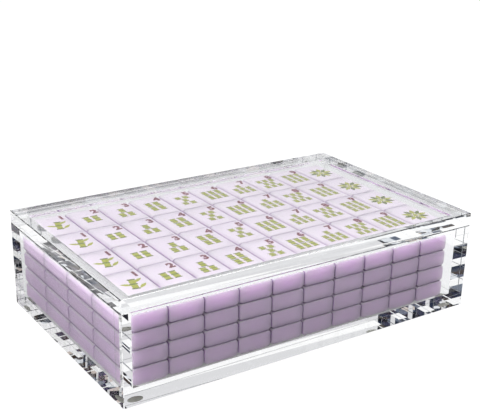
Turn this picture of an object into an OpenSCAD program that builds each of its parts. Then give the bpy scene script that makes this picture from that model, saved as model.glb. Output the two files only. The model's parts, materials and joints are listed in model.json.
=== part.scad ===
// Clear acrylic case for a mahjong set, closed and loaded with its tiles.
//
// The tray is cut from sheet: the base runs under all four walls, the front and
// back walls run the full length, and the end walls fit between them. The lid is
// a sheet of the tray's outline with a thinner sheet under it that drops between
// the walls. The tiles fill the tray in layers, pushed up against its front left
// corner, and every dimension of the case is worked out from theirs.
//
// Millimetres. The origin is the middle of the footprint, on the plane that the
// feet stand on. +X runs along the length, +Y to the back and +Z up.

/* [Tiles] */
// Width of a tile, along the case
tile_w = 21.8; // [16:0.1:30]
// Length of a tile, across the case
tile_l = 31.8; // [24:0.1:42]
// Thickness of a tile
tile_t = 10.4; // [7:0.1:16]
// Radius of the four rounded edges along a tile
tile_edge_r = 2.4; // [0.5:0.1:3]
// Radius of the smaller rounded edges round each end of a tile
tile_end_r = 1; // [0.3:0.1:3]
// Gap between a tile and the next in its layer
tile_gap = 0.2; // [0.1:0.05:0.8]
// Tiles side by side along the case, each with a face of its own
columns = 10; // [5:1:10]
// Tiles across the case, all with the same face
rows = 4; // [2:1:6]
// Layers of tiles, one on another
layers = 4; // [1:1:4]

/* [Room around the tiles] */
// Gap between the left wall and the tiles
left_room = 0.4; // [0.3:0.1:4]
// Room between the tiles and the right wall
right_room = 5.8; // [5:0.1:20]
// Gap between the front wall and the tiles
front_room = 0.9; // [0.3:0.1:4]
// Room between the tiles and the back wall
back_room = 3.3; // [0.3:0.1:12]
// Gap between the top tiles and the lid
head_room = 0.4; // [0.3:0.1:3]

/* [Acrylic sheet] */
// Thickness of the base
base_t = 8; // [3:0.5:15]
// Thickness of the four walls
wall_t = 8; // [3:0.5:15]
// Thickness of the lid's top sheet
lid_t = 8; // [3:0.5:15]
// Thickness of the sheet under the lid that drops between the walls
locating_t = 4.5; // [2:0.5:12]
// Gap all round between that sheet and the walls
locating_gap = 0.5; // [0.3:0.1:1.5]
// Width of the polished bevel on every free edge
edge_bevel = 0.4; // [0.1:0.1:1]

/* [Feet] */
// Diameter of a foot pad
foot_d = 9; // [5:0.5:14]
// Height of a foot pad
foot_h = 1.6; // [1:0.1:4]
// Radius of the rounded edge that a foot pad stands on
foot_edge_r = 0.6; // [0.2:0.1:0.9]
// Distance from the end of the case to the middle of a foot pad
foot_from_end = 10; // [8:0.5:30]
// Distance from the front or back of the case to the middle of a foot pad
foot_from_side = 11; // [8:0.5:30]

/* [Hidden] */
$fn = 48;

// Size of one layer of tiles
layer_l = columns * tile_w + (columns - 1) * tile_gap;
layer_d = rows * tile_l + (rows - 1) * tile_gap;

// Space between the walls, and the outside of the case
inner_l = left_room + layer_l + right_room;
inner_d = front_room + layer_d + back_room;
case_l = inner_l + 2 * wall_t;
case_d = inner_d + 2 * wall_t;

// Heights, from the plane that the feet stand on
floor_z = foot_h + base_t;
tiles_top_z = floor_z + layers * tile_t;
locating_z = tiles_top_z + head_room;
wall_top_z = locating_z + locating_t;
wall_h = wall_top_z - floor_z;

// Faces of the tiles, one row of names to a layer, from the bottom layer up.
// Every name stands for one column of a layer: tiles that are all alike.
FACES = [
    ["east_wind", "south_wind", "west_wind", "north_wind", "flower_a",
     "flower_b", "joker_a", "joker_b", "blank_a", "blank_b"],
    concat([for (n = [1 : 9]) str("character_", n)], ["red_dragon"]),
    concat([for (n = [1 : 9]) str("dot_", n)], ["white_dragon"]),
    concat([for (n = [1 : 9]) str("bamboo_", n)], ["green_dragon"])
];

// The lowest layers are left out first, so the bamboo tiles stay on top
function tile_node(layer, column) =
    str("tiles_", FACES[len(FACES) - layers + layer - 1][column - 1]);

// Corners of the case: name, side along X, side along Y
CORNERS = [
    ["front_left", -1, -1], ["front_right", 1, -1],
    ["back_left", -1, 1], ["back_right", 1, 1]
];
function foot_node(corner) = str("foot_", corner[0]);

// ---- Shapes shared by several pieces ----

// Rectangle about the origin with its corners cut off at 45 degrees
module bevelled_rectangle(w, h, bevel) {
    x = w / 2;
    y = h / 2;
    polygon([
        [-x + bevel, -y], [x - bevel, -y], [x, -y + bevel], [x, y - bevel],
        [x - bevel, y], [-x + bevel, y], [-x, y - bevel], [-x, -y + bevel]
    ]);
}

// Rectangle about the origin with round corners
module rounded_rectangle(w, h, r) {
    square([w - 2 * r, h], center = true);
    square([w, h - 2 * r], center = true);
    for (sx = [-1, 1])
        for (sy = [-1, 1])
            translate([sx * (w / 2 - r), sy * (h / 2 - r)])
                circle(r = r);
}

// Sheet standing on z = 0 with a polished bevel on all twelve edges
module bevelled_sheet(l, d, h) {
    translate([0, 0, h / 2])
        intersection() {
            linear_extrude(h, center = true)
                bevelled_rectangle(l, d, edge_bevel);
            rotate([90, 0, 0])
                linear_extrude(d, center = true)
                    bevelled_rectangle(l, h, edge_bevel);
            rotate([90, 0, 90])
                linear_extrude(l, center = true)
                    bevelled_rectangle(d, h, edge_bevel);
        }
}

// What the tray's outside is trimmed and polished to once its sheets are bonded
module tray_outside() {
    translate([0, 0, foot_h])
        bevelled_sheet(case_l, case_d, wall_top_z - foot_h);
}

// One sheet of the tray, from its corner nearest the front left, trimmed outside
module tray_sheet(corner, size) {
    color([0.86, 0.91, 0.94, 0.35])
        intersection() {
            translate(corner) cube(size);
            tray_outside();
        }
}

// ---- Tray ----

module base() {
    tray_sheet([-case_l / 2, -case_d / 2, foot_h], [case_l, case_d, base_t]);
}

module front_wall() {
    tray_sheet([-case_l / 2, -case_d / 2, floor_z], [case_l, wall_t, wall_h]);
}

module back_wall() {
    tray_sheet([-case_l / 2, inner_d / 2, floor_z], [case_l, wall_t, wall_h]);
}

module left_wall() {
    tray_sheet([-case_l / 2, -inner_d / 2, floor_z], [wall_t, inner_d, wall_h]);
}

module right_wall() {
    tray_sheet([inner_l / 2, -inner_d / 2, floor_z], [wall_t, inner_d, wall_h]);
}

// Soft pad stuck under one corner, with a rounded edge where it stands
module foot(corner) {
    foot_r = foot_d / 2;
    color([0.62, 0.65, 0.66])
        translate([corner[1] * (case_l / 2 - foot_from_end),
                   corner[2] * (case_d / 2 - foot_from_side), 0])
            rotate_extrude() {
                square([foot_r - foot_edge_r, foot_h]);
                translate([0, foot_edge_r])
                    square([foot_r, foot_h - foot_edge_r]);
                intersection() {
                    translate([foot_r - foot_edge_r, foot_edge_r])
                        circle(r = foot_edge_r);
                    square([foot_r, foot_h]);
                }
            }
}

// ---- Lid ----

// Full outline of the tray, resting on the tops of the walls
module lid_top_sheet() {
    color([0.86, 0.91, 0.94, 0.35])
        translate([0, 0, wall_top_z])
            bevelled_sheet(case_l, case_d, lid_t);
}

// Bonded under the top sheet, so that the lid can't slide off the walls
module lid_locating_sheet() {
    color([0.80, 0.87, 0.91, 0.35])
        translate([0, 0, locating_z])
            bevelled_sheet(inner_l - 2 * locating_gap, inner_d - 2 * locating_gap,
                           locating_t);
}

// ---- Tiles ----

// One tile standing on z = 0, well rounded along its length and less round its ends
module tile() {
    translate([0, 0, tile_t / 2])
        intersection() {
            linear_extrude(tile_t, center = true)
                rounded_rectangle(tile_w, tile_l, tile_end_r);
            rotate([90, 0, 0])
                linear_extrude(tile_l, center = true)
                    rounded_rectangle(tile_w, tile_t, tile_edge_r);
            rotate([90, 0, 90])
                linear_extrude(tile_w, center = true)
                    rounded_rectangle(tile_l, tile_t, tile_end_r);
        }
}

// The tiles of one face: one column of one layer, from the front to the back
module tile_column(layer, column) {
    x = -inner_l / 2 + left_room + tile_w / 2 + (column - 1) * (tile_w + tile_gap);
    front_y = -inner_d / 2 + front_room + tile_l / 2;
    color(layer == layers ? [0.90, 0.85, 0.94] : [0.76, 0.70, 0.82])
        for (row = [1 : rows])
            translate([x, front_y + (row - 1) * (tile_l + tile_gap),
                       floor_z + (layer - 1) * tile_t])
                tile();
}

// ---- Assembly ----

base();
front_wall();
back_wall();
left_wall();
right_wall();
for (corner = CORNERS)
    foot(corner);
lid_top_sheet();
lid_locating_sheet();
for (layer = [1 : layers])
    for (column = [1 : columns])
        tile_column(layer, column);
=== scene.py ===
import json
import math
import random

import bmesh
import bpy
from mathutils import Matrix, Vector


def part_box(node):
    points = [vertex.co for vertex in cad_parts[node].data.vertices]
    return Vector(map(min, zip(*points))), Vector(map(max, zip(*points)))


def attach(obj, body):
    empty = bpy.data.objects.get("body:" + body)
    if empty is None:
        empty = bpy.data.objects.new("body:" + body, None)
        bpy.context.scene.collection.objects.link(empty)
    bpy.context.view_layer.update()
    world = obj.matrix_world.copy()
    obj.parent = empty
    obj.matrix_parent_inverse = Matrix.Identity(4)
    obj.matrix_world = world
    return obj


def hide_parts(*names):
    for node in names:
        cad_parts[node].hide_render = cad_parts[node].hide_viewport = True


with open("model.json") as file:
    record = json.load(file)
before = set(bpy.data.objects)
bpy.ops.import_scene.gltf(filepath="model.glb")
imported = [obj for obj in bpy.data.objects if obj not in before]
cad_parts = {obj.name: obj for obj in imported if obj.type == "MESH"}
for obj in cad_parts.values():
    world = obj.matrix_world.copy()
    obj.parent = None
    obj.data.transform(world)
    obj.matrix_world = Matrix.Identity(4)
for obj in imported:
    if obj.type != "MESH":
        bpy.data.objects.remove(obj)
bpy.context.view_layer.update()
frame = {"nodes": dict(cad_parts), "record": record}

MM = 0.001

# ---- Sizes that the frame doesn't give ----

# Tiles
ROWS = 4                    # tiles in each column of a layer
TILE_GAP = 0.2 * MM         # between a tile and the next
TILE_EDGE = 2.4 * MM        # radius of a tile's long edges
TILE_END = 1.0 * MM         # radius of the edges round its ends
EDGE_SEGMENTS = 4
END_SEGMENTS = 3
TILE_SHIFT = 0.07 * MM      # how far a loose tile lies off its place
TILE_TURN = math.radians(0.25)
TILE_AIR = 0.03 * MM        # air left under each tile, over the paint of the one below
PAINTED_SHADE_REACH = 1.2 * MM     # how near another tile is where painted shade darkens the resin

# Painted marks
PAINT_PROUD = 0.02 * MM     # paint above the face of a tile
PAINT_DEEP = 0.10 * MM      # and in the engraving below it
DIGIT_HEIGHT = 6.4 * MM
DIGIT_PLACE = Vector((6.4, 9.6, 0)) * MM    # its middle, from the middle of the face
DIGIT_BOLD = 0.055          # what its strokes gain each side, as a share of its size
WELD = 1e-4                 # share of its size within which its points are one

# Acrylic, cement and glue
SHEET_EDGE = 0.35 * MM      # polished bevel on the acrylic
LID_AIR = 0.03 * MM         # air left between the lid and the walls it rests on
BOND_LINE = 0.12 * MM       # cement squeezed out along a bonded joint
BOND_SKIN = 0.05 * MM       # acrylic over it
BOND_DEEP = 0.25 * MM       # how far it reaches into the joint
BOND_END = 1 * MM           # from its end to the end of the joint
GLUE_FILM = 0.05 * MM       # glue between a foot pad and the base
PAD_SIDES = 40

# Studio
NEAR_RAYS = 8               # rays by which a surface looks for what is near it
SHADE_REACH = 30 * MM       # how far up the floor looks for what shades it
CARD_AWAY = 0.9             # from the case to the studio's cards
FELT_UP = 1 * MM            # from the floor to the felt

# The sockets of a Mix node's two colours, and of the colour that it gives
FIRST, SECOND, MIXED = 6, 7, 2

dice = random.Random(7)


# ---- Helpers ----

def linear(hex_colour):
    """An sRGB colour such as '8C3250' as linear RGBA."""
    def channel(i):
        c = int(hex_colour[i:i + 2], 16) / 255
        return c / 12.92 if c <= 0.04045 else ((c + 0.055) / 1.055) ** 2.4
    return (channel(0), channel(2), channel(4), 1.0)


def add_node(tree, kind, settings=None, links=None):
    """Adds a node, sets its properties and sockets, and links its inputs. A socket goes
    by its name, or by its number where two have the same name."""
    node = tree.nodes.new(kind)
    for key, value in (settings or {}).items():
        if isinstance(key, int) or key in node.inputs:
            node.inputs[key].default_value = value
        else:
            setattr(node, key, value)
    for key, source in (links or {}).items():
        tree.links.new(source, node.inputs[key])
    return node


def new_material(name):
    """An empty node material, its tree, and the socket that its shader goes to."""
    material = bpy.data.materials.new(name)
    material.use_nodes = True
    tree = material.node_tree
    tree.nodes.clear()
    return material, tree, add_node(tree, "ShaderNodeOutputMaterial").inputs["Surface"]


def new_object(name, bm, materials):
    """A mesh object at the origin from a finished bmesh."""
    bmesh.ops.recalc_face_normals(bm, faces=bm.faces)
    mesh = bpy.data.meshes.new(name)
    bm.to_mesh(mesh)
    bm.free()
    for material in materials:
        mesh.materials.append(material)
    piece = bpy.data.objects.new(name, mesh)
    bpy.context.scene.collection.objects.link(piece)
    return piece


def box_of(node):
    """The lowest and the highest corner of a CAD node."""
    low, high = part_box(node)
    return Vector(low), Vector(high)


# ---- Materials ----

def cast_acrylic():
    """Cast acrylic sheet, polished: water clear, with sharp reflections and a dark,
    streaky look where its edges mirror the room."""
    material, tree, surface = new_material("cast_acrylic")
    shader = add_node(tree, "ShaderNodeBsdfPrincipled", {
        "Base Color": (0.985, 0.992, 0.996, 1.0),   # linear: finer than hex steps
        "Roughness": 0.0,
        "IOR": 1.49,
        "Transmission Weight": 1.0,
    })
    tree.links.new(shader.outputs["BSDF"], surface)
    return material


def tile_resin():
    """Cast resin, slightly translucent: light soaks a few millimetres in, so the top
    edges glow. The body is lilac with a faint cloudy mottle, and surfaces that face
    up are painted paler as painted top light. The polish is a soft gloss that catches
    on the rounded edges."""
    material, tree, surface = new_material("lilac_resin")
    place = add_node(tree, "ShaderNodeTexCoord").outputs
    cloud = add_node(tree, "ShaderNodeTexNoise", {"Scale": 1 / (14 * MM), "Detail": 3.0},
                     {"Vector": place["Object"]}).outputs["Fac"]
    body = add_node(tree, "ShaderNodeMix", {
        "data_type": "RGBA", FIRST: linear("EACAF4"), SECOND: linear("E2C2ED"),
    }, {"Factor": cloud}).outputs[MIXED]
    # Painted top light: a paler copy of the resin colour, mixed in where the surface faces
    # up, stands in for the light falling from above
    face = add_node(tree, "ShaderNodeMix", {
        "data_type": "RGBA", FIRST: linear("E8DAEA"), SECOND: linear("E3D3E6"),
    }, {"Factor": cloud}).outputs[MIXED]
    facing = add_node(tree, "ShaderNodeSeparateXYZ", None, {"Vector": place["Normal"]})
    painted_top_light = add_node(tree, "ShaderNodeMapRange", {"From Min": 0.3, "From Max": 0.7},
                      {"Value": facing.outputs["Z"]}).outputs["Result"]
    resin = add_node(tree, "ShaderNodeMix", {"data_type": "RGBA"},
                     {"Factor": painted_top_light, FIRST: body, SECOND: face}).outputs[MIXED]
    # Painted shade: deep violet painted where the next tile is close, darkening the
    # grooves between tiles
    painted_groove_shade = add_node(tree, "ShaderNodeAmbientOcclusion",
                        {"samples": NEAR_RAYS, "Distance": PAINTED_SHADE_REACH}).outputs["AO"]
    colour = add_node(tree, "ShaderNodeMix",
                      {"data_type": "RGBA", FIRST: linear("5A1478")},
                      {"Factor": painted_groove_shade, SECOND: resin}).outputs[MIXED]
    fine = add_node(tree, "ShaderNodeTexNoise", {"Scale": 1 / (0.8 * MM), "Detail": 2.0},
                    {"Vector": place["Object"]}).outputs["Fac"]
    bump = add_node(tree, "ShaderNodeBump", {"Strength": 0.03, "Distance": 0.05 * MM},
                    {"Height": fine}).outputs["Normal"]
    shader = add_node(tree, "ShaderNodeBsdfPrincipled", {
        "Roughness": 0.3,
        "IOR": 1.5,
        "Specular IOR Level": 0.1,
        "Subsurface Weight": 1.0,
        "Subsurface Radius": (1.0, 1.0, 0.95),
        "Subsurface Scale": 17 * MM,
    }, {"Base Color": colour, "Normal": bump})
    tree.links.new(shader.outputs["BSDF"], surface)
    return material


def mottled(name, first, second, patch, roughness, detail=2.0):
    """A matt material that wavers between two colours in patches of a given size."""
    material, tree, surface = new_material(name)
    place = add_node(tree, "ShaderNodeTexCoord").outputs["Object"]
    patches = add_node(tree, "ShaderNodeTexNoise", {"Scale": 1 / patch, "Detail": detail},
                       {"Vector": place}).outputs["Fac"]
    colour = add_node(tree, "ShaderNodeMix", {
        "data_type": "RGBA", FIRST: linear(first), SECOND: linear(second),
    }, {"Factor": patches}).outputs[MIXED]
    shader = add_node(tree, "ShaderNodeBsdfPrincipled", {"Roughness": roughness},
                      {"Base Color": colour})
    tree.links.new(shader.outputs["BSDF"], surface)
    return material


def engraving_enamel(name, colour, worn):
    """Enamel rubbed into the engraving: flat, slightly uneven colour."""
    return mottled(name, colour, worn, 1.6 * MM, 0.5, 4.0)


def soft_pad():
    """Moulded polyurethane bumper: soft, grey and slightly milky."""
    material, tree, surface = new_material("polyurethane_pad")
    place = add_node(tree, "ShaderNodeTexCoord").outputs["Object"]
    dust = add_node(tree, "ShaderNodeTexNoise", {"Scale": 1 / (1.2 * MM)},
                    {"Vector": place}).outputs["Fac"]
    rough = add_node(tree, "ShaderNodeMapRange", {"To Min": 0.35, "To Max": 0.55},
                     {"Value": dust}).outputs["Result"]
    shader = add_node(tree, "ShaderNodeBsdfPrincipled",
                      {"Base Color": linear("9BA19F"), "IOR": 1.5}, {"Roughness": rough})
    tree.links.new(shader.outputs["BSDF"], surface)
    return material


ACRYLIC = cast_acrylic()
RESIN = tile_resin()
ENAMELS = [engraving_enamel("green_enamel", "A4A814", "949A0E"),
           engraving_enamel("dark_green_enamel", "5C6A0A", "4E5A08"),
           engraving_enamel("maroon_enamel", "720A30", "620626")]
PAD = soft_pad()
# Set solvent cement: a fine grey line with paler breaks where it ran thin
CEMENT = mottled("solvent_cement", "5F666B", "B9BEC2", 9 * MM, 0.6)
# Pressure-sensitive glue seen through acrylic: grey, with paler patches where it
# hasn't wetted the sheet
GLUE = mottled("pad_glue", "84857C", "A9AAA2", 2.5 * MM, 0.7)


# ---- Acrylic ----

def add_box(bm, low, high):
    """Adds a box between two corners to a bmesh."""
    low, high = Vector(low), Vector(high)
    verts = bmesh.ops.create_cube(bm, size=1.0)["verts"]
    bmesh.ops.scale(bm, vec=high - low, verts=verts)
    bmesh.ops.translate(bm, vec=(low + high) / 2, verts=verts)


def bevel_edges(bm, edges, width, segments):
    """Rounds edges off, or cuts them at 45 degrees if there is one segment."""
    bmesh.ops.bevel(bm, geom=edges, offset=width, offset_type="OFFSET", affect="EDGES",
                    segments=segments, profile=0.5, material=-1)


def on_outside(edge, low, high):
    """True if an edge lies on one of the outer edges of a box."""
    touching = 0
    for axis in range(3):
        for side in (low[axis], high[axis]):
            if all(abs(v.co[axis] - side) < 0.001 * MM for v in edge.verts):
                touching += 1
    return touching >= 2


def acrylic_block(name, low, high, up, inset, depth):
    """A box of acrylic whose top, or its underside if up is -1, is set in from the edge
    and pushed out by a depth, or in if that is negative. Its outer edges are bevelled."""
    bm = bmesh.new()
    add_box(bm, low, high)
    bm.normal_update()
    face = max(bm.faces, key=lambda f: f.normal.z * up)
    bmesh.ops.inset_region(bm, faces=[face], thickness=inset, use_even_offset=True)
    pushed = bmesh.ops.extrude_discrete_faces(bm, faces=[face])["faces"][0]
    bmesh.ops.translate(bm, vec=(0, 0, up * depth), verts=pushed.verts)
    outer = [e for e in bm.edges if on_outside(e, low, high)]
    bevel_edges(bm, outer, SHEET_EDGE, 1)
    block = new_object(name, bm, [ACRYLIC])
    block.visible_shadow = False        # clear sheet lets the studio's light through
    return block


def make_tray():
    """The base and the four walls, bonded into one block with a deep well."""
    low, floor = box_of("base")
    high = Vector((floor.x, floor.y, box_of("front_wall")[1].z - LID_AIR))
    wall = box_of("left_wall")[1].x - low.x
    tray = acrylic_block("tray", low, high, 1, wall, floor.z - high.z)
    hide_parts("base", "front_wall", "back_wall", "left_wall", "right_wall")
    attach(tray, "case")


def make_lid():
    """The top sheet and the locating sheet, bonded into one block."""
    low, high = box_of("lid_top_sheet")
    inner = box_of("lid_locating_sheet")[0]
    lid = acrylic_block("lid", low, high, -1, inner.x - low.x, low.z - inner.z)
    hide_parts("lid_top_sheet", "lid_locating_sheet")
    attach(lid, "lid")


def make_bond_lines():
    """The fine line of cement along each joint of the tray, just under the surface."""
    low, high = box_of("base")
    front = box_of("front_wall")[1]
    back = box_of("back_wall")[0]
    half = BOND_LINE / 2
    bottom, top = high.z - half, high.z + half
    bm = bmesh.new()
    for y in (low.y + BOND_SKIN, high.y - BOND_SKIN - BOND_DEEP):
        add_box(bm, (low.x + BOND_END, y, bottom),
                (high.x - BOND_END, y + BOND_DEEP, top))
    for x in (low.x + BOND_SKIN, high.x - BOND_SKIN - BOND_DEEP):
        add_box(bm, (x, low.y + BOND_END, bottom),
                (x + BOND_DEEP, high.y - BOND_END, top))
        for y in (front.y, back.y):
            add_box(bm, (x, y - half, high.z + BOND_END),
                    (x + BOND_DEEP, y + half, front.z - BOND_END))
    lines = new_object("bond_lines", bm, [CEMENT])
    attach(lines, "case")


def make_pad_films(feet):
    """The film of glue on each foot pad, which shows through the clear base."""
    bm = bmesh.new()
    for name in feet:
        low, high = box_of(name)
        radius = (high.x - low.x) / 2
        place = Vector(((low.x + high.x) / 2, (low.y + high.y) / 2, high.z + GLUE_FILM))
        bmesh.ops.create_cone(bm, cap_ends=True, segments=PAD_SIDES, radius1=radius,
                              radius2=radius, depth=GLUE_FILM,
                              matrix=Matrix.Translation(place))
    films = new_object("pad_films", bm, [GLUE])
    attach(films, "case")


# ---- Tiles ----

def tile_places(node):
    """The centre and the size of each tile of a node, from the front to the back."""
    low, high = box_of(node)
    low.z += TILE_AIR
    length = (high.y - low.y - (ROWS - 1) * TILE_GAP) / ROWS
    size = Vector((high.x - low.x, length, high.z - low.z))
    first = low + size / 2
    step = Vector((0, length + TILE_GAP, 0))
    return [(first + row * step, size) for row in range(ROWS)]


def loose(centre):
    """Where a tile really lies: its centre with a slight shift and turn."""
    shift = Vector((dice.uniform(-1, 1), dice.uniform(-1, 1), 0)) * TILE_SHIFT
    turn = Matrix.Rotation(dice.uniform(-1, 1) * TILE_TURN, 4, "Z")
    return Matrix.Translation(centre + shift) @ turn


def add_tile(bm, size, place):
    """Adds a tile, well rounded along its length and less round its ends."""
    before = set(bm.verts)
    made = bmesh.ops.create_cube(bm, size=1.0)["verts"]
    bmesh.ops.scale(bm, vec=size, verts=made)
    for lengthwise, radius, segments in ((True, TILE_EDGE, EDGE_SEGMENTS),
                                         (False, TILE_END, END_SEGMENTS)):
        # An edge that runs lengthwise has its ends on either side of the middle
        edges = [e for e in bm.edges if e.verts[0] not in before
                 and (e.verts[0].co.y * e.verts[1].co.y < 0) == lengthwise]
        bevel_edges(bm, edges, radius, segments)
    bmesh.ops.transform(bm, matrix=place, verts=list(set(bm.verts) - before))


def make_tiles(node, body):
    """The tiles of a node. Returns the middle of each one's face, with its turn."""
    bm = bmesh.new()
    faces = []
    for centre, size in tile_places(node):
        place = loose(centre)
        add_tile(bm, size, place)
        faces.append(place @ Matrix.Translation((0, 0, size.z / 2)))
    for face in bm.faces:
        face.smooth = True
    tiles = new_object(node + "_resin", bm, [RESIN])
    even = tiles.modifiers.new("even_normals", "WEIGHTED_NORMAL")
    even.weight = 100
    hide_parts(node)
    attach(tiles, body)
    return faces


# ---- Engraved and painted marks ----
# Every mark is drawn about the middle of a tile's face, X to the right and Y up
# the tile, in millimetres. The designs are plain ones of the kind such sets have.

GREEN, DARK_GREEN, MAROON = range(3)    # a paint's place in ENAMELS
MOTIF = Vector((0.0, -1.7))             # middle of the motif, below the numeral
RING_SIDES = 24
SPOT_SIDES = 12
PETAL_SIDES = 16

# How many sticks or rings each row of a numbered tile has, from the top
PATTERNS = {1: (1,), 2: (2,), 3: (1, 2), 4: (2, 2), 5: (2, 1, 2), 6: (3, 3),
            7: (1, 3, 3), 8: (3, 2, 3), 9: (3, 3, 3)}


def raise_shape(bm, faces, paint):
    """Gives flat faces the depth of the engraving they fill, and their paint."""
    verts = {v for face in faces for v in face.verts}
    bmesh.ops.translate(bm, vec=(0, 0, -PAINT_DEEP / MM), verts=list(verts))
    made = bmesh.ops.extrude_face_region(bm, geom=faces, use_keep_orig=True)["geom"]
    top = [g for g in made if isinstance(g, bmesh.types.BMVert)]
    bmesh.ops.translate(bm, vec=(0, 0, (PAINT_DEEP + PAINT_PROUD) / MM), verts=top)
    for face in {f for v in list(verts) + top for f in v.link_faces}:
        face.material_index = paint


def place_flat(bm, verts, scale, turn, place):
    """Scales, turns and places the flat shape that was just made."""
    bmesh.ops.scale(bm, vec=(scale[0], scale[1], 1), verts=verts)
    bmesh.ops.rotate(bm, matrix=Matrix.Rotation(turn, 3, "Z"), verts=verts)
    bmesh.ops.translate(bm, vec=(place[0], place[1], 0), verts=verts)


def faces_of(verts):
    """The faces that any of the given vertices belongs to."""
    return list({f for v in verts for f in v.link_faces})


def round_corners(bm, verts, radius, segments):
    """Rounds the corners of a flat shape. Returns the vertices that this made."""
    return bmesh.ops.bevel(bm, geom=verts, offset=radius, offset_type="OFFSET",
                           affect="VERTICES", segments=segments, profile=0.5,
                           material=-1)["verts"]


def draw_bar(bm, width, height, place, paint, turn=0.0, corner=0.0):
    """A bar with corners of the given radius."""
    verts = bmesh.ops.create_grid(bm, x_segments=1, y_segments=1, size=0.5)["verts"]
    place_flat(bm, verts, (width, height), turn, place)
    if corner:
        verts = round_corners(bm, verts, corner, 2)
    raise_shape(bm, faces_of(verts), paint)


def flat_circle(bm, radius, place, sides):
    """A flat round face. Returns its vertices."""
    verts = bmesh.ops.create_circle(bm, cap_ends=True, radius=1.0, segments=sides)["verts"]
    place_flat(bm, verts, (radius, radius), 0.0, place)
    return verts


def draw_disc(bm, radius, place, paint, sides):
    """A round spot."""
    raise_shape(bm, faces_of(flat_circle(bm, radius, place, sides)), paint)


def draw_ring(bm, radius, width, place, paint):
    """A ring of the given outer radius."""
    middle = faces_of(flat_circle(bm, radius, place, RING_SIDES))
    band = bmesh.ops.inset_region(bm, faces=middle, thickness=width, use_boundary=True,
                                  use_even_offset=True)["faces"]
    bmesh.ops.delete(bm, geom=middle, context="FACES_ONLY")
    raise_shape(bm, band, paint)


def draw_leaf(bm, width, length, place, turn, paint):
    """A pointed leaf: a long diamond with its two side corners rounded off."""
    verts = bmesh.ops.create_circle(bm, cap_ends=True, radius=1.0, segments=4)["verts"]
    place_flat(bm, verts, (width / 2, length / 2), 0.0, (0, 0))
    sides = [v for v in verts if abs(v.co.x) > abs(v.co.y)]
    tips = [v for v in verts if v not in sides]
    rounded = round_corners(bm, sides, length * 0.3, 3)
    verts = list(set(rounded) | set(tips))
    place_flat(bm, verts, (1, 1), turn, place)
    raise_shape(bm, faces_of(verts), paint)


def draw_stick(bm, width, height, place, turn=0.0):
    """A stick of bamboo: two lengths of cane between three darker knots."""
    along = Vector((-math.sin(turn), math.cos(turn)))
    knot = height * 0.11
    cane = (height - 3 * knot) / 2
    cane_width = width * 0.82
    corner = width * 0.16
    for side in (-1, 1):
        middle = place + along * side * (cane + knot) / 2
        draw_bar(bm, cane_width, cane, middle, GREEN, turn, corner)
    for step in (-1, 0, 1):
        middle = place + along * step * (cane + knot)
        draw_bar(bm, width, knot, middle, DARK_GREEN, turn)


def shoot(bm):
    """A stick that leans to the right, with three leaves."""
    draw_stick(bm, 4.4, 12.5, MOTIF, math.radians(-12))
    for turn, x, y in ((-60, 4.0, 3.4), (58, -4.0, 0.6), (-52, 3.8, -3.6)):
        draw_leaf(bm, 3.4, 7.0, MOTIF + Vector((x, y)), math.radians(turn), GREEN)


def bamboo(bm, number):
    """As many sticks as the number says. The one is a shoot with leaves."""
    if number == 1:
        shoot(bm)
        return
    rows = PATTERNS[number]
    tall = 10.0 if number == 2 else 13.5 + 0.4 * number
    pitch_x = 5.6 if max(rows) < 3 else 4.9
    pitch_y = tall / len(rows)
    width = pitch_x * 0.82
    height = pitch_y - 0.7
    for row, count in enumerate(rows):
        y = tall / 2 - (row + 0.5) * pitch_y
        for k in range(count):
            x = (k - (count - 1) / 2) * pitch_x
            draw_stick(bm, width, height, MOTIF + Vector((x, y)))


def dots(bm, number):
    """As many rings as the number says, each about a spot."""
    rows = PATTERNS[number]
    pitch_x, pitch_y = 4.8, 5.4
    radius = 4.6 if number == 1 else 2.0
    band = radius * 0.3
    spot = radius * 0.35
    for row, count in enumerate(rows):
        y = ((len(rows) - 1) / 2 - row) * pitch_y
        for k in range(count):
            place = MOTIF + Vector(((k - (count - 1) / 2) * pitch_x, y))
            draw_ring(bm, radius, band, place, GREEN)
            draw_disc(bm, spot, place, MAROON, SPOT_SIDES)


def strokes(bm, number):
    """A lozenge under as many short bars as the number says, three to a row."""
    pitch_x, pitch_y = 4.4, 2.0
    in_row = min(number, 3)
    for k in range(number):
        x = (k % 3 - (in_row - 1) / 2) * pitch_x
        y = 3.2 + (k // 3) * pitch_y
        draw_bar(bm, 3.4, 0.9, MOTIF + Vector((x, y)), MAROON)
    draw_bar(bm, 5.2, 5.2, MOTIF + Vector((0, -3.6)), GREEN, math.radians(45))


def wreath(bm):
    """A round wreath of leaves about a bud."""
    leaves = 10
    for k in range(leaves):
        angle = 2 * math.pi * k / leaves
        reach = Vector((math.cos(angle), math.sin(angle))) * 5.2
        draw_leaf(bm, 4.2, 7.0, MOTIF + reach, angle - math.pi / 2,
                  DARK_GREEN if k % 2 else GREEN)
    draw_disc(bm, 1.7, MOTIF, GREEN, PETAL_SIDES)


def arrow(bm, degrees):
    """A pointer towards one of the four winds."""
    angle = math.radians(degrees)
    ahead = Vector((-math.sin(angle), math.cos(angle)))
    draw_bar(bm, 1.6, 8.0, MOTIF - ahead * 2.6, DARK_GREEN, angle)
    draw_leaf(bm, 6.4, 8.6, MOTIF + ahead * 3.2, angle, GREEN)


def flower(bm, petals, paint):
    """Round petals about a ring."""
    for k in range(petals):
        angle = 2 * math.pi * k / petals + math.pi / 2
        reach = Vector((math.cos(angle), math.sin(angle))) * 3.6
        draw_disc(bm, 2.5, MOTIF + reach, paint, PETAL_SIDES)
    draw_ring(bm, 2.0, 0.6, MOTIF, DARK_GREEN)


def plain_field(bm):
    """An empty field with a border."""
    for side in (-1, 1):
        draw_bar(bm, 0.9, 17.0, MOTIF + Vector((side * 5.6, 0)), DARK_GREEN)
        draw_bar(bm, 10.3, 0.9, MOTIF + Vector((0, side * 8.05)), DARK_GREEN)


SUITS = {"bamboo": bamboo, "dot": dots, "character": strokes}
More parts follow.
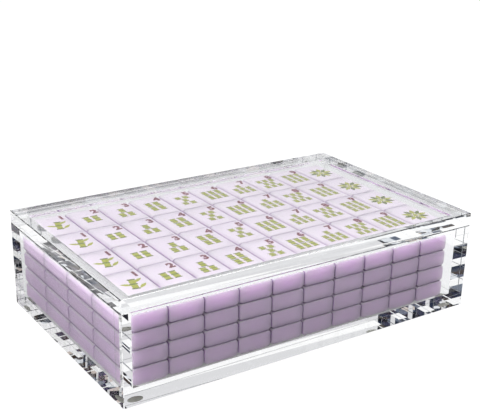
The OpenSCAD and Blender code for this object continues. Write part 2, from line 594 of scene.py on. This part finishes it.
# What draws the mark of each other tile, and the sizes it is given
OTHER_MARKS = {
    "green_dragon": (wreath,),
    "white_dragon": (plain_field,),
    "red_dragon": (draw_bar, 9.0, 9.0, MOTIF, MAROON, math.radians(45), 1.2),
    "east_wind": (arrow, -90),
    "south_wind": (arrow, 180),
    "west_wind": (arrow, 90),
    "north_wind": (arrow, 0),
    "flower_a": (flower, 5, MAROON),
    "flower_b": (flower, 6, GREEN),
    "joker_a": (draw_ring, 6.0, 1.4, MOTIF, MAROON),
    "joker_b": (draw_ring, 6.0, 1.4, MOTIF, GREEN),
}


def digit_mesh(number):
    """A plain numeral as a closed mesh about its own middle, in metres."""
    curve = bpy.data.curves.new("digit", "FONT")
    curve.body = str(number)
    curve.size = 1.0
    curve.offset = DIGIT_BOLD
    curve.resolution_u = 3
    curve.extrude = 0.5
    text = bpy.data.objects.new("digit", curve)
    bpy.context.scene.collection.objects.link(text)
    bpy.context.view_layer.update()
    graph = bpy.context.evaluated_depsgraph_get()
    mesh = bpy.data.meshes.new_from_object(text.evaluated_get(graph))
    bpy.data.objects.remove(text)
    bpy.data.curves.remove(curve)
    low = Vector(map(min, *[v.co for v in mesh.vertices]))
    high = Vector(map(max, *[v.co for v in mesh.vertices]))
    tall = DIGIT_HEIGHT / (high.y - low.y)
    size = Matrix.Diagonal((tall, tall, (PAINT_DEEP + PAINT_PROUD), 1.0))
    lift = Matrix.Translation((0, 0, (PAINT_PROUD - PAINT_DEEP) / 2))
    middle = Matrix.Translation(-(low + high) / 2)
    # A text's faces and sides come apart at their edges, so they are welded into one
    bm = bmesh.new()
    bm.from_mesh(mesh)
    bmesh.ops.remove_doubles(bm, verts=bm.verts, dist=WELD)
    bmesh.ops.transform(bm, matrix=lift @ size @ middle, verts=bm.verts)
    bmesh.ops.recalc_face_normals(bm, faces=bm.faces)
    bm.to_mesh(mesh)
    bm.free()
    return mesh


def add_copy(bm, mesh, matrix, paint=None):
    """Adds a moved copy of a mesh to a bmesh, painted in one colour if one is given."""
    known_verts = len(bm.verts)
    known_faces = len(bm.faces)
    bm.from_mesh(mesh)
    bm.verts.ensure_lookup_table()
    bm.faces.ensure_lookup_table()
    bmesh.ops.transform(bm, matrix=matrix, verts=bm.verts[known_verts:])
    if paint is not None:
        for face in bm.faces[known_faces:]:
            face.material_index = paint


def make_marks(node, body, places, digits):
    """The same painted marks on each tile of a node. A blank tile gets none."""
    face_name = node.removeprefix("tiles_")
    suit, _, number = face_name.rpartition("_")
    drawing = bmesh.new()
    if suit in SUITS:
        SUITS[suit](drawing, int(number))
    elif face_name in OTHER_MARKS:
        draw, *sizes = OTHER_MARKS[face_name]
        draw(drawing, *sizes)
    else:
        drawing.free()
        return
    stamp = bpy.data.meshes.new("stamp")
    bmesh.ops.recalc_face_normals(drawing, faces=drawing.faces)
    drawing.to_mesh(stamp)
    drawing.free()
    bm = bmesh.new()
    for place in places:
        add_copy(bm, stamp, place @ Matrix.Scale(MM, 4))
        if suit in SUITS:
            digit_place = place @ Matrix.Translation(DIGIT_PLACE)
            add_copy(bm, digits[int(number)], digit_place, MAROON)
    bpy.data.meshes.remove(stamp)
    marks = new_object(node.replace("tiles_", "marks_"), bm, ENAMELS)
    marks.visible_shadow = False        # or thin paint would darken the resin round it
    marks.visible_diffuse = False
    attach(marks, body)


# ---- Stage ----

def make_camera():
    """The photo's view, fitted to the case's corners: from the front left, a little
    above the case."""
    camera_data = bpy.data.cameras.new("camera")
    camera = bpy.data.objects.new("camera", camera_data)
    bpy.context.scene.collection.objects.link(camera)
    right = Vector((0.84076, -0.54119, 0.01520))
    up = Vector((0.19437, 0.32793, 0.92449))
    back = Vector((-0.50531, -0.77432, 0.38090))
    place = Vector((-0.3105, -0.4589, 0.2695))
    turn = Matrix((right, up, back)).transposed().to_4x4()
    camera.matrix_world = Matrix.Translation(place) @ turn
    camera_data.sensor_width = 36.0
    camera_data.lens = 72.14
    camera_data.shift_x = 0.028
    camera_data.shift_y = 0.0745
    bpy.context.scene.camera = camera


def plane(name, size, place, material):
    """A flat sheet of the studio, not part of the case."""
    bm = bmesh.new()
    bmesh.ops.create_grid(bm, x_segments=1, y_segments=1, size=0.5)
    bmesh.ops.scale(bm, vec=(size[0], size[1], 1), verts=bm.verts)
    bmesh.ops.transform(bm, matrix=place, verts=bm.verts)
    sheet = new_object(name, bm, [material])
    return sheet


def floor_paper():
    """White paper sweep: lit like any surface, and paler still to the camera, straight
    or through glass, but for the strip of shade under the case and close to it."""
    material, tree, surface = new_material("white_paper")
    rays = add_node(tree, "ShaderNodeLightPath").outputs
    mirrored = add_node(tree, "ShaderNodeMath", {"operation": "MULTIPLY", 1: 0.1},
                        {0: rays["Is Glossy Ray"]})
    glassy = add_node(tree, "ShaderNodeMath", {"operation": "MAXIMUM"},
                      {0: mirrored.outputs[0], 1: rays["Is Transmission Ray"]})
    seen = add_node(tree, "ShaderNodeMath", {"operation": "MAXIMUM"},
                    {0: rays["Is Camera Ray"], 1: glassy.outputs[0]})
    # Rays that light a matt surface meet the paper as it is
    direct = add_node(tree, "ShaderNodeMath", {"operation": "LESS_THAN", 1: 0.5},
                      {0: rays["Diffuse Depth"]})
    eye = add_node(tree, "ShaderNodeMath", {"operation": "MULTIPLY"},
                   {0: seen.outputs[0], 1: direct.outputs[0]})
    open_sky = add_node(tree, "ShaderNodeAmbientOcclusion",
                        {"samples": NEAR_RAYS, "Distance": SHADE_REACH})
    clear = add_node(tree, "ShaderNodeMapRange", {"From Min": 0.15, "From Max": 0.5},
                     {"Value": open_sky.outputs["AO"]})
    bright = add_node(tree, "ShaderNodeMath", {"operation": "MULTIPLY"},
                      {0: eye.outputs[0], 1: clear.outputs["Result"]})
    share = add_node(tree, "ShaderNodeMapRange", {"To Max": 0.8},
                     {"Value": bright.outputs[0]})
    paper = add_node(tree, "ShaderNodeBsdfDiffuse", {"Color": linear("A0A0A0")})
    glow = add_node(tree, "ShaderNodeEmission",
                    {"Color": linear("FFFFFF"), "Strength": 1.2})
    mix = add_node(tree, "ShaderNodeMixShader", None, {
        "Fac": share.outputs["Result"], 1: paper.outputs["BSDF"],
        2: glow.outputs["Emission"]})
    tree.links.new(mix.outputs["Shader"], surface)
    return material


def dark_studio():
    """What the acrylic's edges mirror: an unlit end of a studio, near black, with
    paler upright and level shapes in it."""
    material, tree, surface = new_material("dark_studio")
    place = add_node(tree, "ShaderNodeTexCoord").outputs["Object"]
    flatten = add_node(tree, "ShaderNodeMapping", {"Scale": (1.0, 1.0, 2.2)},
                       {"Vector": place})
    shapes = add_node(tree, "ShaderNodeTexVoronoi",
                      {"distance": "CHEBYCHEV", "Scale": 1 / (20 * MM)},
                      {"Vector": flatten.outputs["Vector"]})
    ramp = add_node(tree, "ShaderNodeValToRGB", None, {"Fac": shapes.outputs["Color"]})
    tones = ramp.color_ramp
    tones.interpolation = "CONSTANT"
    tones.elements[0].color = linear("22232B")
    tones.elements[1].position = 0.80
    tones.elements[1].color = linear("E9EDF2")
    for position, colour in ((0.26, "463C36"), (0.36, "14161C"), (0.50, "2B3347"),
                             (0.68, "6B7383"), (0.74, "DCD0C8")):
        tones.elements.new(position).color = linear(colour)
    glow = add_node(tree, "ShaderNodeEmission", None, {"Color": ramp.outputs["Color"]})
    tree.links.new(glow.outputs["Emission"], surface)
    return material


def plain_card(name, colour, mirrored):
    """A card of one even tone, and of another where the acrylic's outside mirrors it."""
    material, tree, surface = new_material(name)
    rays = add_node(tree, "ShaderNodeLightPath").outputs
    tone = add_node(tree, "ShaderNodeMix", {
        "data_type": "RGBA", FIRST: linear(colour), SECOND: linear(mirrored),
    }, {"Factor": rays["Is Reflection Ray"]})
    glow = add_node(tree, "ShaderNodeEmission", None, {"Color": tone.outputs[MIXED]})
    tree.links.new(glow.outputs["Emission"], surface)
    return material


def mirrored_felt():
    """Dark grey felt that keeps white paper's reflection off the walls: there only for
    what either face of a wall mirrors, and clear to every other ray."""
    material, tree, surface = new_material("grey_felt")
    rays = add_node(tree, "ShaderNodeLightPath").outputs
    turned_back = add_node(tree, "ShaderNodeMath", {"operation": "GREATER_THAN", 1: 0.5},
                           {0: rays["Glossy Depth"]})
    inner = add_node(tree, "ShaderNodeMath", {"operation": "MULTIPLY"},
                     {0: rays["Is Transmission Ray"], 1: turned_back.outputs[0]})
    either = add_node(tree, "ShaderNodeMath", {"operation": "MAXIMUM"},
                      {0: rays["Is Glossy Ray"], 1: inner.outputs[0]})
    direct = add_node(tree, "ShaderNodeMath", {"operation": "LESS_THAN", 1: 0.5},
                      {0: rays["Diffuse Depth"]})
    mirrored = add_node(tree, "ShaderNodeMath", {"operation": "MULTIPLY"},
                        {0: either.outputs[0], 1: direct.outputs[0]})
    clear = add_node(tree, "ShaderNodeBsdfTransparent")
    glow = add_node(tree, "ShaderNodeEmission", {"Color": linear("2C2C32")})
    mix = add_node(tree, "ShaderNodeMixShader", None, {
        "Fac": mirrored.outputs[0], 1: clear.outputs["BSDF"],
        2: glow.outputs["Emission"]})
    tree.links.new(mix.outputs["Shader"], surface)
    return material


def hide_card(card):
    """Leaves a card to mirrors and glass alone."""
    card.visible_camera = False
    card.visible_diffuse = False
    card.visible_shadow = False


def make_cards():
    """Cards out of view that only the acrylic mirrors: two dark ones, where its end
    bands look, a grey one where its back edge looks, a pale one behind the case, and
    felt laid before it and to its left."""
    dark = dark_studio()
    pale = plain_card("pale_card", "E6E6E8", "4A4C54")
    grey = plain_card("grey_card", "4A4C56", "4A4C56")
    # In degrees: the card's direction from +X, its width, and its lowest and highest
    # points as seen from the case
    for name, angle, width, low, high, material in (
            ("card_back_left", 142, 62, 12, 38, dark),
            ("card_front_right", -62, 34, 12, 36, dark),
            ("card_front_left", -125, 26, 4, 15, grey),
            ("card_behind", 55, 44, 12, 42, pale)):
        bottom, top = (CARD_AWAY * math.tan(math.radians(tilt)) for tilt in (low, high))
        across = 2 * CARD_AWAY * math.tan(math.radians(width / 2))
        upright = Matrix.Rotation(math.radians(90), 4, "Y")
        stand = Matrix.Translation((CARD_AWAY, 0, (bottom + top) / 2))
        turn = Matrix.Rotation(math.radians(angle), 4, "Z")
        hide_card(plane(name, (top - bottom, across), turn @ stand @ upright, material))
    felt = mirrored_felt()
    for name, size, place in (
            ("felt_before", (0.31, 0.11), (0.035, -0.130, FELT_UP)),
            ("felt_left", (0.038, 0.26), (-0.141, 0.055, FELT_UP))):
        hide_card(plane(name, size, Matrix.Translation(place), felt))


def make_softbox(name, size, energy, place, lean):
    """A soft lamp that faces down, or leans to light the case from the left. The
    acrylic mirrors it but doesn't show it behind itself."""
    light = bpy.data.lights.new(name, "AREA")
    light.size = size
    light.energy = energy
    lamp = bpy.data.objects.new(name, light)
    lamp.location = place
    lamp.rotation_euler = (0, math.radians(lean), 0)
    lamp.visible_transmission = False
    bpy.context.scene.collection.objects.link(lamp)


def make_stage():
    """The floor, the cards, a plain white sky and two soft lamps."""
    plane("floor", (6, 6), Matrix.Identity(4), floor_paper())
    make_cards()

    world = bpy.data.worlds.new("studio")
    bpy.context.scene.world = world
    world.use_nodes = True
    tree = world.node_tree
    tree.nodes.clear()
    sky = add_node(tree, "ShaderNodeBackground",
                   {"Color": linear("FFFFFF"), "Strength": 1.0})
    add_node(tree, "ShaderNodeOutputWorld", None, {"Surface": sky.outputs["Background"]})

    make_softbox("softbox_above", 0.9, 6.7, (0.20, 0.0, 0.75), 0)
    make_softbox("softbox_left", 0.7, 3.8, (-0.9, 0.05, 0.40), -66)

    scene = bpy.context.scene
    scene.view_settings.view_transform = "Standard"
    # Light runs along inside a sheet of acrylic by many total reflections
    scene.cycles.max_bounces = 40
    scene.cycles.glossy_bounces = 32
    scene.cycles.transmission_bounces = 32


# ---- Build ----

feet = [name for name in frame["nodes"] if name.startswith("foot_")]

make_camera()
make_tray()
make_bond_lines()
make_pad_films(feet)
make_lid()
digits = {number: digit_mesh(number) for number in range(1, 10)}
for body, nodes in frame["record"]["behaviour"]["bodies"].items():
    if body.startswith("tile_layer"):
        for node in nodes:
            make_marks(node, body, make_tiles(node, body), digits)
for name in feet:
    frame["nodes"][name].material_slots[0].material = PAD
make_stage()
